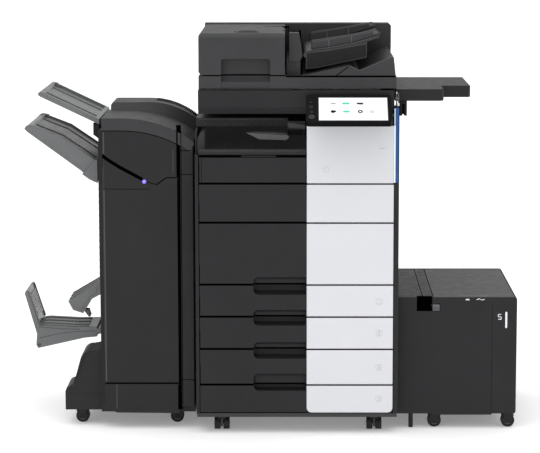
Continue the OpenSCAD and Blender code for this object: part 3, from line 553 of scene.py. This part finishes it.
piece("tray_lip", lip, "main_unit", "dark_cover", edge=0.8)
# Painted shade: black strips in the seam under the tray lip, and a thin black line below it
under_lip = Shape().box((13, 140), (-0.5, 1), (852, 858)).box((244, 334), (-0.5, 1), (852, 858))
under_lip.box((140, 244), (-0.45, 1), (852, 854)).box((19.4, 20.6), (-0.4, 1), (776, 850))
piece("lip_seam", under_lip, "main_unit", "inner_black", "painted_shade_black", edge=0.2)
# The ribs carry the cavity's painted glow
paper_stop = Shape()
for x in (90, 170, 250):
    paper_stop.prism("y", (60, 440), [(x, 862), (x + 1, 870.5), (x + 5, 870.5), (x + 6, 862)])
piece("output_ribs", paper_stop, "main_unit", "inner_black", "cavity_grey_painted_glow", edge=0.6)

# ---- document feeder -----------------------------------------------------------------------------

# Painted shade on the deck: black lines in its gaps and a black plate in the input tray's shadow
deck_shade = Shape().box((274, 602), (19.4, 23.4), (1092, 1096.5))
deck_shade.line((424, 1096), (462, 1124), 2.2, (22.0, 23.4))
deck_shade.box((12.6, 605), (19.6, 21), (1057.2, 1058.6))
deck_shade.box((318, 420), (68, 470), (1094.6, 1096.2))
piece("deck_painted_shade", deck_shade, "feeder", "inner_black", "painted_shade_black", edge=0.2)
# Painted highlights: a light line along the wedge's front edge, and one under the cover's seam
deck_edge_highlight = Shape().path([(466, 1126), (494, 1111.5), (587, 1150)], 1.6, (22.2, 23.8))
deck_edge_highlight.box((13, 283), (19.5, 21), (1056.0, 1057.0))
piece("deck_edge_highlight", deck_edge_highlight, "feeder", "feeder_cover", "trim_and_highlight_grey", edge=0.2)
# The throat is near-black: painted shade in the gap behind the feed cover
throat = Shape().box((287, 312), (112, 480), (1138, 1203))
throat.prism("y", (118, 476), [(312, 1138), (322, 1150), (318, 1186), (312, 1200)])
for y in range(130, 470, 40):
    throat.box((311, 320), (y, y + 3), (1140, 1206))
piece("throat", throat, "feeder", "inner_black", "painted_shade_black", edge=1.5)
ejected = Shape()
for y in range(80, 480, 50):
    ejected.prism("y", (y, y + 4), [(330, 1094), (462, 1126.5), (466, 1128.5), (462, 1129.5),
                                    (330, 1098)])
piece("eject_ribs", ejected, "feeder", "feeder_cover", edge=0.5)
feed = Shape().rod("y", (70, 470), (150, 1106), 3, 16).rod("y", (70, 470), (216, 1108), 3, 16)
for y in (150, 230, 290, 370):
    feed.rod("y", (y, y + 30), (150, 1106), 9, 24)
    feed.rod("y", (y + 4, y + 26), (216, 1108), 10, 24)
feed.box((52, 120), (70, 480), (1096, 1099))
piece("feed_rollers", feed, "feeder", "inner_black", "roller_grey", edge=0.6)
levers = Shape()
for y in (92, 430):
    levers.prism("y", (y, y + 28), [(60, 1097), (96, 1097), (92, 1106), (70, 1110), (60, 1104)])
piece("jam_levers", levers, "feeder", "key_grey", "handle_green", edge=1.2)

dish = Shape().ring("z", (1222.4, 1224.0), (158, 120), 30, 25, 40)
dish.ring("z", (1222.6, 1223.7), (158, 120), 21, 9, 32)
dish.prism("z", (1222.4, 1223.9), rounded((122, 194), (60, 66), 2.5))
dish.rod("z", (1222.4, 1224.2), (121, 108), 4.5, 16)
piece("cover_latch", dish, "feed_cover", "inner_black", edge=0.6)
# Painted shade: the slots are near-black strips on the cover
vents = Shape().prism("z", (1222.6, 1223.5), [(206, 388), (283, 388), (283, 300), (270, 300),
                                              (258, 376), (206, 380)])
vents.box((262, 283), (150, 154), (1222.6, 1223.6))
vents.box((281, 283.6), (60, 300), (1222.4, 1223.4))
piece("cover_slots", vents, "feed_cover", "inner_black", "painted_shade_black", edge=0.2)

for name, face, back in (("front", 73.4, 86), ("rear", 477.4, 490)):
    ribs = Shape()
    for x, z in ((404, 1189), (472, 1203)):
        ribs.box((x - 1.5, x + 1.5), (face, face + 1.2), (z - 11, z + 11))
    ribs.path([(356, 1194), (462, 1211.5), (546, 1227)], 1.4, (face, face + 1.0))
    ribs.prism("y", (face - 0.2, back + 0.3), [(538, 1216), (549, 1219), (553, 1223), (545, 1228.5),
                                               (536, 1226.5)])
    piece(f"guide_{name}_trim", ribs, f"guide_{name}", "feeder_cover", "trim_and_highlight_grey", edge=0.5)
tray_ribs = Shape()
for y in (130, 190, 370, 430):
    tray_ribs.prism("y", (y, y + 5), [(350, 1168), (404, 1174), (472, 1186), (548, 1209),
                                      (548, 1212.4), (472, 1189.4), (404, 1177.2), (350, 1171.2)])
tray_ribs.prism("y", (268, 292), [(352, 1168), (404, 1174), (440, 1180), (440, 1183.4),
                                  (404, 1177.4), (352, 1171)])
piece("input_tray_ribs", tray_ribs, "input_tray", "feeder_cover", edge=0.6)
TRAY_FACE = 60
# Painted shadow: near-black skin on the tray's lower side, with dark posts and a line under its rim
shade = Shape()
shade.prism("y", (TRAY_FACE - 0.5, TRAY_FACE + 0.4), [(337, 1116), (372, 1120), (464, 1140),
                                                      (515, 1151), (515, 1188), (472, 1180),
                                                      (404, 1168), (337, 1161)])
for x, z in ((392, 1130), (452, 1142), (512, 1154)):
    shade.box((x, x + 2), (TRAY_FACE - 0.8, TRAY_FACE + 0.3), (z, z + 30))
shade.path([(338, 1166), (346, 1169), (404, 1175.4), (472, 1187.4), (516, 1196)], 1.3,
           (TRAY_FACE - 0.9, TRAY_FACE + 0.3))
piece("input_tray_side_shade", shade, "input_tray", "inner_black", edge=0.4)

# ---- finisher ------------------------------------------------------------------------------------

FIN_FACE = 62
ABOVE = [(-284, 853.5), (-263, 838.5), (-228, 816.5), (-162, 781)]
BELOW = [(-284, 847), (-263, 832), (-228.6, 810.6), (-163, 775)]
SKIN = (FIN_FACE - 0.35, FIN_FACE + 0.4)
# Painted shade: near-black strips along the finisher's grooves, and black sheets behind its gaps
groove = Shape().path(ABOVE, 5.0, SKIN)
groove.box((-58.5, -54), SKIN, (786, 926))
groove.box((-45.6, -43.4), SKIN, (76, 926))
groove.box((-58.5, -44), SKIN, (926, 944))
groove.box((-55, -45), (FIN_FACE + 4, FIN_FACE + 12), (62, 925))
groove.box((-59, -51), SKIN, (62, 141))
groove.path([(-118, 762.6), (-103, 774.6), (-89, 783.4), (-56, 783.4)], 1.6, SKIN)
groove.box((-282, -60), (FIN_FACE + 4, FIN_FACE + 7), (924.6, 927.2))
piece("finisher_groove", groove, "finisher", "inner_black", "painted_shade_black", edge=0.15)
# Painted shade: near-black strips along the door's seams
door_edge = Shape().path(BELOW, 5.0, SKIN).box((-57, -53.2), SKIN, (146, 780))
door_edge.box((-283, -140), SKIN, (747.4, 748.8))
door_edge.box((-283, -57), SKIN, (144, 147))
# Painted highlights: lighter strips down the rounded left edges of door and upper cover, one on the
# skirt
corner = Shape().box((-281, -277.4), SKIN, (150, 745))
for z in (150, 745):
    corner.prism("y", SKIN, circle(-279.2, z, 1.8, 16))
piece("finisher_door_corner_highlight", corner, "finisher_door", "dark_cover", "painted_light_grey", edge=0.3)
corner = Shape().box((-281, -277.4), SKIN, (856, 922)).box((-249, -246.5), SKIN, (64, 140))
piece("finisher_front_corner_highlight", corner, "finisher", "dark_cover", "painted_light_grey", edge=0.3)
piece("finisher_door_edge", door_edge, "finisher_door", "inner_black", "painted_shade_black", edge=0.15)
lamp = Shape().prism("y", (FIN_FACE - 1.2, FIN_FACE + 4), circle(-157, 771, 4.2, 20))
lamp.ring("y", (FIN_FACE - 0.6, FIN_FACE + 2), (-157, 771), 6.0, 4.6, 24)
piece("finisher_lamp", lamp, "finisher", "blue_light", "lamp_violet", edge=0.9)
# Painted shade: near-black strips in the column's seams and in the gap beside it
column = Shape()
for z in (793, 156, 866):
    column.box((-46.5, -7), (FIN_FACE - 0.05, FIN_FACE + 1), (z - 1.1, z + 1.1))
column.box((-9.5, -6.2), (FIN_FACE - 0.05, FIN_FACE + 6), (74, 880))
piece("column_seams", column, "finisher", "inner_black", "painted_shade_black", edge=0.1)
upper_line = Shape().box((-69.6, -68.4), (FIN_FACE - 0.1, FIN_FACE + 1), (800, 868))
for z in (800, 868):
    upper_line.prism("y", (FIN_FACE - 0.1, FIN_FACE + 1), circle(-69, z, 0.9, 12))
piece("finisher_front_line", upper_line, "finisher", "dark_cover", "trim_and_highlight_grey", edge=0.1)
# Painted shade: near-black strips in the louvres of the rear block
louvres = Shape()
# The rear block's rounded top
ARC_X, ARC_RADIUS, ARC_TOP = -165, 240, 986
for x in range(-140, -10, 5):
    z = ARC_TOP - ARC_RADIUS + math.sqrt(ARC_RADIUS ** 2 - (x - ARC_X) ** 2)
    louvres.box((x, x + 3.0), (430, 506), (z - 8, z + 1.2))
piece("block_louvres", louvres, "finisher", "inner_black", "painted_shade_black", edge=0.4)
bracket = Shape().prism("y", (128, 500), [(-297.5, 940), (-315, 937), (-315, 907), (-297.5, 893)])
for y in (150, 300, 470):
    bracket.prism("y", (y, y + 8), [(-297.5, 946), (-318, 941), (-318, 905), (-297.5, 889)])
piece("tray_bracket", bracket, "finisher", "inner_black", edge=1.2)
rails = Shape()
for y in (96, 524):
    rails.box((-299.2, -296.8), (y, y + 14), (470, 880))
for z in range(480, 880, 20):
    rails.box((-299.8, -297), (98, 108), (z, z + 6))
    rails.box((-299.8, -297), (526, 536), (z, z + 6))
piece("lift_rails", rails, "finisher", "inner_black", edge=0.4)
exits = Shape()
for z in (936, 846):
    exits.rod("y", (150, 480), (-299, z), 2.2, 12)
    for y in (170, 240, 310, 380, 450):
        exits.rod("y", (y, y + 16), (-299, z), 5.5, 18)
piece("finisher_exit_rollers", exits, "finisher", "inner_black", "roller_grey", edge=0.5)
# Painted shade: near-black strips in the side panel's seams
side_panel = Shape()
for z in (300, 640):
    side_panel.box((-298.2, -296.6), (86, 638), (z - 1.2, z + 1.2))
side_panel.box((-298.2, -296.6), (616, 618.4), (60, 900))
piece("finisher_side_seams", side_panel, "finisher", "inner_black", "painted_shade_black", edge=0.1)

arm = Shape().prism("y", (193.4, 331.6), [(-298.5, 441.5), (-313.5, 433.4), (-408, 377.4),
                                          (-393.2, 348.8), (-361.4, 338.4), (-332.2, 384.8),
                                          (-298.5, 402.6)])
arm.prism("y", (192.2, 193.6), [(-318, 424), (-396, 378), (-388, 360), (-364, 350), (-340, 392),
                                (-318, 402)])
for y in (210, 262, 314):
    arm.prism("y", (y, y + 6), [(-305, 438), (-404, 380), (-405.6, 382.6), (-306, 441.2)])
piece("booklet_guide_skin", arm, "finisher", "smoke_tray", edge=1.2)
strut = Shape()
for y in ((240, 250), (262, 270)):
    strut.prism("y", y, [(-366, 342), (-348, 342), (-342, 322), (-350, 320)])
strut.rod("y", (238, 272), (-346, 323), 4)
piece("booklet_strut", strut, "finisher", "smoke_tray", "smoke_mid", edge=0.8)
stand = Shape().path([(-404, 118), (-384, 134), (-362, 190), (-350, 222), (-330, 233)], 3.0,
                     (108.6, 110.4))
stand.box((-404, -300), (108.8, 110.4), (100, 102))
for y in (118, 226):
    stand.prism("y", (y, y + 5), [(-386, 139), (-384, 136), (-363, 193), (-365, 195)])
piece("stand_trim", stand, "finisher", "dark_cover", edge=0.8)


def band(line, low, high):
    """A strip along a line, between two heights above it."""
    return [(u, v + low) for u, v in line] + [(u, v + high) for u, v in reversed(line)]


def tray_floor(name, body, line, y, rib_at):
    """The floor of a sheet tray and its ribs, darker than its sides."""
    floor = Shape().prism("y", y, band(line, 0.4, 1.6))
    for rib in rib_at:
        floor.prism("y", (rib, rib + 5), band(line, 1.0, 4.2))
    piece(name, floor, body, "smoke_tray", "smoke_mid", edge=0.5)


tray_floor("upper_tray_floor", "finisher", [(-309, 951), (-466, 1025)], (142, 488), (225, 400))
tray_floor("main_tray_floor", "main_tray", [(-312, 822), (-330, 834), (-420, 894), (-500, 926)],
           (142, 488), (225, 400))
tray_floor("booklet_floor", "booklet_tray", [(-345, 297.6), (-382, 297), (-474, 302), (-492, 301)],
           (190, 340), (215, 262, 310))
mount = Shape()
for y in ((124, 130.5), (499.5, 506)):
    mount.prism("y", y, [(-314, 828), (-330, 806), (-352, 786), (-330, 770), (-304, 758),
                         (-304, 828)])
mount.path([(-518, 918), (-430, 858), (-356, 806)], 2.2, (129.2, 130.6))
piece("main_tray_mount", mount, "main_tray", "smoke_tray", edge=1.0)
blocks = Shape()
for y in ((129.4, 152), (478, 500.6)):
    blocks.prism("y", y, [(-527, 926), (-504, 913), (-486, 922), (-492, 934), (-512, 938),
                          (-522, 933)])
piece("main_tray_corners", blocks, "main_tray", "smoke_tray", edge=1.2)
upper_blocks = Shape()
for y in ((129.4, 150), (480, 500.6)):
    upper_blocks.prism("y", y, [(-483, 1030), (-462, 1017), (-452, 1024), (-462, 1036),
                                (-478, 1039)])
piece("upper_tray_corners", upper_blocks, "finisher", "smoke_tray", edge=1.2)
stop = Shape().prism("y", (196, 334), [(-527.4, 396), (-503.4, 321), (-502.2, 321.4),
                                       (-526.2, 396.4)])
for y in (212, 262, 312):
    stop.prism("y", (y, y + 6), [(-525.4, 388), (-507, 332), (-504.6, 332.8), (-523, 388.8)])
piece("booklet_stop_panel", stop, "booklet_tray", "smoke_tray", "smoke_dark", edge=0.3)
bars = Shape()
for y in (188, 336):
    bars.prism("y", (y, y + 6), [(-532, 410), (-498, 304), (-494.5, 305), (-528.5, 411)])
for i in range(9):
    u, v = -526.5 + 2.6 * i, 394 - 8.2 * i
    bars.prism("y", (202, 328), [(u, v), (u + 1.2, v - 3.6), (u + 3.4, v - 3.0),
                                 (u + 2.2, v + 0.7)])
piece("booklet_stop_bars", bars, "booklet_tray", "smoke_tray", edge=0.5)
side_line = Shape().path([(-498, 262), (-430, 277), (-370, 283), (-326, 284)], 1.6, (184.2, 185.4))
side_line.path([(-500, 297), (-430, 291), (-372, 289)], 1.4, (184.2, 185.4))
side_line.prism("y", (183.8, 185.5), circle(-499, 240, 5, 16))
piece("booklet_side_lines", side_line, "booklet_tray", "smoke_tray", "smoke_dark", edge=0.3)

# ---- paper cabinet -------------------------------------------------------------------------------

CAB_FACE = 66
CAB_TOP = 413
# Painted shade: near-black strips in the seams of the cabinet top
top_lines = Shape()
for x, y in (((692, 694.4), (70, 586)), ((724.4, 726.6), (92, 586)), ((727, 977), (576.2, 578))):
    top_lines.box(x, y, (CAB_TOP - 0.6, CAB_TOP + 0.15))
piece("cabinet_top_seams", top_lines, "cabinet", "inner_black", "painted_shade_black", edge=0.1)
screws = Shape()
for x, y in ((683, 205), (683, 440), (709, 300), (709, 520)):
    screws.ring("z", (CAB_TOP - 0.4, CAB_TOP + 0.9), (x, y), 5, 3.2, 20)
    screws.rod("z", (CAB_TOP - 0.4, CAB_TOP + 0.6), (x, y), 3.0, 20)
piece("cabinet_screws", screws, "cabinet", "frame_metal", "trim_and_highlight_grey", edge=0.3)
CAB_MARK = (CAB_FACE - 0.3, CAB_FACE + 1)
marks = Shape().prism("y", CAB_MARK, [(824, 404), (837, 404), (835, 408), (826, 408)])
marks.path([(858, 405.5), (866, 408.5), (874, 404.5), (883, 407)], 2.0, CAB_MARK)
digit(marks, 5, 930, 352, 9, 15, 2.2, CAB_MARK)
marks.prism("y", (CAB_FACE - 0.5, CAB_FACE + 1), rounded((947, 953), (317, 368), 2.8))
piece("cabinet_marks", marks, "cabinet", "key_grey", "mark_white", edge=0.15)
# Painted shade: near-black sheets inside the cabinet's recess
recess = Shape().box((676, 722), (CAB_FACE + 22.5, CAB_FACE + 23.6), (371, 412))
recess.box((676, 722), (CAB_FACE + 1, CAB_FACE + 23), (370.2, 371.4))
recess.box((676, 677.2), (CAB_FACE + 1, CAB_FACE + 23), (371, 412))
recess.box((683, 716), (CAB_FACE + 18, CAB_FACE + 23), (398, 402))
piece("recess_shade", recess, "cabinet", "inner_black", "painted_shade_black", edge=0.3)
grip = Shape().prism("z", (CAB_TOP - 0.4, CAB_TOP + 0.1), rounded((800, 900), (84, 96), 4))
grip.ring("z", (CAB_TOP - 0.4, CAB_TOP + 0.1), (850, 330), 26, 25, 40)
piece("lid_marks", grip, "cabinet_lid", "feeder_cover", "trim_and_highlight_grey", edge=0.1)
lever_ribs = Shape()
for z in (374, 377.5, 381):
    lever_ribs.box((727, 742), (60.6, 63), (z, z + 1.4))
lever_ribs.prism("y", (61.2, 63), rounded((725, 744.5), (371.6, 385), 2.5))
piece("lever_ribs", lever_ribs, "cabinet_lever", "lever_grey", "relay_grey", edge=0.5)
lift = Shape().box((764, 942), (96, 556), (86, 90))
for y in (150, 320, 490):
    lift.box((770, 936), (y, y + 6), (89, 91.5))
piece("lift_plate", lift, "cabinet", "frame_metal", "steel", edge=0.6)

# ---- casters -------------------------------------------------------------------------------------

AXLE_Z = 21
for body, x, ys, base_body in (("finisher_wheels_left", -363, (164, 560), "finisher"),
                               ("finisher_wheels_right", -67, (164, 560), "finisher"),
                               ("cabinet_wheels_left", 733, (102, 550), "cabinet"),
                               ("cabinet_wheels_right", 961, (102, 550), "cabinet")):
    hubs, hoods = Shape(), Shape()
    for y in ys:
        for near, rim, boss in ((y - 11.6, y - 12.5, y - 12.8), (y + 11.6, y + 12.5, y + 12.8)):
            hubs.ring("y", sorted((near, rim)), (x, AXLE_Z), 13, 10, 28)
            hubs.ring("y", sorted((near, boss)), (x, AXLE_Z), 7.5, 4.3, 20)
        hoods.prism("y", (y - 16, y + 16), arch(x, AXLE_Z, 25.2, 22.6, 38, 142))
        hoods.rod("y", (y - 18.5, y - 17), (x, AXLE_Z), 6.5, 20)
        hoods.rod("y", (y + 17, y + 18.5), (x, AXLE_Z), 6.5, 20)
    piece(f"hubs_{body}", hubs, body, "wheel_rubber", "relay_grey", edge=0.25)
    piece(f"hoods_{body}", hoods, base_body, "wheel_rubber", edge=0.5)

SWIVEL_Y = 67
SWIVEL_Z = 20
TREAD = (20.02, 19.2)
for side, x in (("left", 76), ("right", 545)):
    hubs, hood = Shape(), Shape()
    for u in (x - 23.4, x + 22.4):
        hubs.ring("x", (u, u + 1.0), (SWIVEL_Y, SWIVEL_Z), 13, 9.5, 28)
    for u in (x - 19, x - 11, x + 8.5, x + 16.5):
        hubs.ring("x", (u, u + 2), (SWIVEL_Y, SWIVEL_Z), *TREAD, 32)
    hood.prism("x", (x - 22, x + 22), arch(SWIVEL_Y, SWIVEL_Z, 23.5, 21.4, 35, 150))
    hood.box((x - 13, x + 13), (44, 46), (36, 41))
    piece(f"hubs_front_wheels_{side}", hubs, f"front_wheels_{side}", "wheel_rubber", "relay_grey",
          edge=0.2)
    piece(f"hood_fork_{side}", hood, f"fork_{side}", "wheel_rubber", edge=0.5)

# ---- print engine behind the doors ---------------------------------------------------------------

for i, finish in enumerate(("toner_yellow", "toner_magenta", "toner_cyan", "icon_black")):
    x = 105 + 132 * i
    cap = Shape().ring("y", (34.5, 40), (x, 712), 24, 15, 32).rod("y", (36, 39), (x, 712), 6, 20)
    cap.box((x - 3, x + 3), (33.5, 37), (690, 734))
    piece(f"bottle_cap_{i}", cap, "main_unit", "toner_grey", finish, edge=0.8)
    pull = Shape().rod("y", (40, 44.2), (x, 560), 14, 24)
    pull.box((x - 30, x + 30), (46, 50.2), (590, 602))
    pull.ring("y", (38, 42), (x, 560), 11, 8, 24)
    piece(f"unit_pull_{i}", pull, "main_unit", "key_grey", "handle_green", edge=0.8)

# ---- rear and right side -------------------------------------------------------------------------

rear = Shape()
for x in (16, 599):
    for z in (214, 246, 624, 656):
        rear.rod("y", (686.1, 687.6), (x, z), 4.4, 20)
        rear.box((x - 3, x + 3), (687.2, 687.8), (z - 0.6, z + 0.6))
piece("rear_screws", rear, "main_unit", "frame_metal", "steel", edge=0.3)
slats = Shape()
for z in range(520, 900, 16):
    slats.prism("y", (612, 674), [(614.6, z), (616.4, z + 2), (616.4, z + 5), (614.6, z + 8)])
piece("side_louvres", slats, "main_unit", "dark_cover", edge=0.5)
inlet = Shape().ring("y", (686.4, 687.8), (520, 114), 22, 20, 4)
for x in (500, 538):
    inlet.box((x, x + 2), (686.6, 687.8), (98, 130))
piece("inlet_trim", inlet, "main_unit", "frame_metal", "trim_and_highlight_grey", edge=0.3)
bypass_ribs = Shape()
for z in range(520, 780, 26):
    bypass_ribs.box((611.0, 611.9), (240, 430), (z, z + 4))
bypass_ribs.box((616.6, 617.6), (300, 370), (768, 780))
piece("bypass_ribs", bypass_ribs, "bypass", "feeder_cover", edge=0.4)
scale = Shape().box((34, 54), (40, 490), (1052.6, 1053.6))
for y in range(60, 480, 20):
    scale.box((48 if y % 100 else 40, 53), (y, y + 0.8), (1053.4, 1053.9))
piece("glass_scale", scale, "main_unit", "pad_white", "mark_grey", edge=0.15)

# ---- camera and light ----------------------------------------------------------------------------

CAMERA_PLACE = (307.5, -6496, 1632)
CAMERA_PITCH = 8.66  # degrees downwards
LENS = 145.0667
SENSOR = 36.0
SHIFT = -0.05
WORLD_STRENGTH = 0.68
FLOOR_HALF = 400.0
FLOOR_GLOW = 0.22


def add(name, data):
    """A new object in the scene."""
    obj = bpy.data.objects.new(name, data)
    bpy.context.scene.collection.objects.link(obj)
    return obj


camera = add("camera", bpy.data.cameras.new("camera"))
bpy.context.scene.camera = camera
camera.location = at(*CAMERA_PLACE)
camera.rotation_euler = (math.radians(90 - CAMERA_PITCH), 0, 0)
camera.data.sensor_width = SENSOR
camera.data.lens = LENS
camera.data.shift_x = SHIFT
camera.data.clip_end = 900.0

world = bpy.data.worlds.new("studio")
world.use_nodes = True
background = world.node_tree.nodes["Background"]
background.inputs["Color"].default_value = (1, 1, 1, 1)
background.inputs["Strength"].default_value = WORLD_STRENGTH
bpy.context.scene.world = world
bpy.context.scene.view_settings.view_transform = "Standard"


def sun(name, direction, strength, spread):
    """A broad light from far away; its spread is in degrees."""
    lamp = bpy.data.lights.new(name, "SUN")
    lamp.energy = strength
    lamp.angle = math.radians(spread)
    add(name, lamp).rotation_euler = Vector(direction).to_track_quat("-Z", "Y").to_euler()


sun("overhead", (0.12, 0.25, -1.0), 1.45, 70)
sun("front_left", (0.6, 1.0, -0.45), 0.35, 50)

floor_mesh = bpy.data.meshes.new("floor")
floor_mesh.from_pydata([(sx * FLOOR_HALF, sy * FLOOR_HALF, 0.0)
                        for sx, sy in ((-1, -1), (1, -1), (1, 1), (-1, 1))], [], [(0, 1, 2, 3)])
floor = add("floor", floor_mesh)
floor_mesh.materials.append(plastic("floor_paint", (0.93, 0.93, 0.93), 0.6, depth=0.0, mottle=0.01,
                                    spec=0.1, glow=((1.0, 1.0, 1.0), FLOOR_GLOW)))
